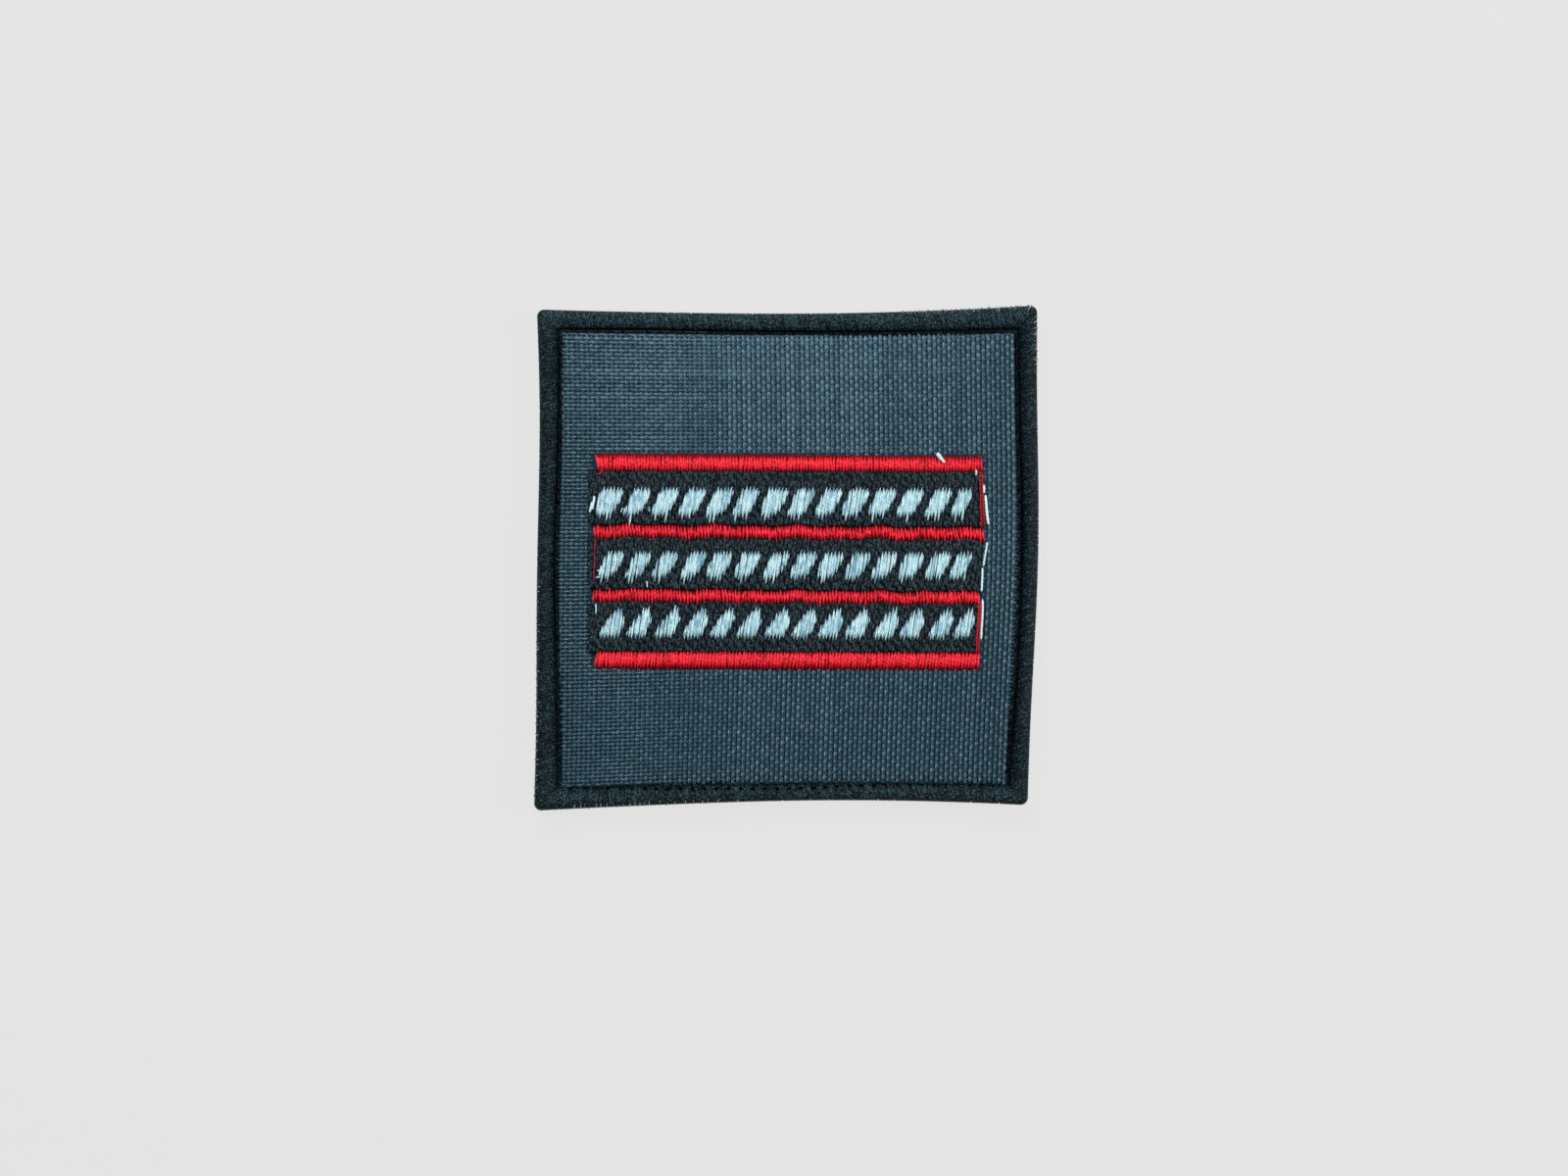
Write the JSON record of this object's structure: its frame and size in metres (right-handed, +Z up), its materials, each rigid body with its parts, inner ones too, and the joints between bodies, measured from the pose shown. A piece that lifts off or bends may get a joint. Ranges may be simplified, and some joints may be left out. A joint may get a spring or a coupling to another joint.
{
  "type": "rank patch",
  "caption": "Square embroidered cloth patch with a satin-stitched border, red stripes, black bands and slanted pale dashes, backed by a hook tape.",
  "frame": {"origin": "on the surface that the patch lies on, under the middle of its outline", "axes": "+Z up, out of the patch's face; +Y to its top edge; +X to its right edge, seen from the face"},
  "size_m": [0.0514, 0.0514, 0.0039],
  "materials": {
    "cloth": "matte plain weave of glossy synthetic yarn",
    "border_thread": "satin-stitched thread",
    "hook_tape": "matte woven tape with small hooks",
    "black_thread": "stitched fill thread",
    "red_thread": "glossy satin-stitched thread",
    "blue_thread": "glossy satin-stitched thread"
  },
  "bodies": {
    "root": {"ground_cloth": "cloth", "border": "border_thread", "hook_backing": "hook_tape", "black_band_1": "black_thread", "black_band_2": "black_thread", "black_band_3": "black_thread", "red_stripe_1": "red_thread", "red_stripe_2": "red_thread", "red_stripe_3": "red_thread", "red_stripe_4": "red_thread", "dash_1_01": "blue_thread", "dash_1_02": "blue_thread", "dash_1_03": "blue_thread", "dash_1_04": "blue_thread", "dash_1_05": "blue_thread", "dash_1_06": "blue_thread", "dash_1_07": "blue_thread", "dash_1_08": "blue_thread", "dash_1_09": "blue_thread", "dash_1_10": "blue_thread", "dash_1_11": "blue_thread", "dash_1_12": "blue_thread", "dash_1_13": "blue_thread", "dash_1_14": "blue_thread", "dash_2_01": "blue_thread", "dash_2_02": "blue_thread", "dash_2_03": "blue_thread", "dash_2_04": "blue_thread", "dash_2_05": "blue_thread", "dash_2_06": "blue_thread", "dash_2_07": "blue_thread", "dash_2_08": "blue_thread", "dash_2_09": "blue_thread", "dash_2_10": "blue_thread", "dash_2_11": "blue_thread", "dash_2_12": "blue_thread", "dash_2_13": "blue_thread", "dash_2_14": "blue_thread", "dash_3_01": "blue_thread", "dash_3_02": "blue_thread", "dash_3_03": "blue_thread", "dash_3_04": "blue_thread", "dash_3_05": "blue_thread", "dash_3_06": "blue_thread", "dash_3_07": "blue_thread", "dash_3_08": "blue_thread", "dash_3_09": "blue_thread", "dash_3_10": "blue_thread", "dash_3_11": "blue_thread", "dash_3_12": "blue_thread", "dash_3_13": "blue_thread", "dash_3_14": "blue_thread"}
  },
  "joints": []
}
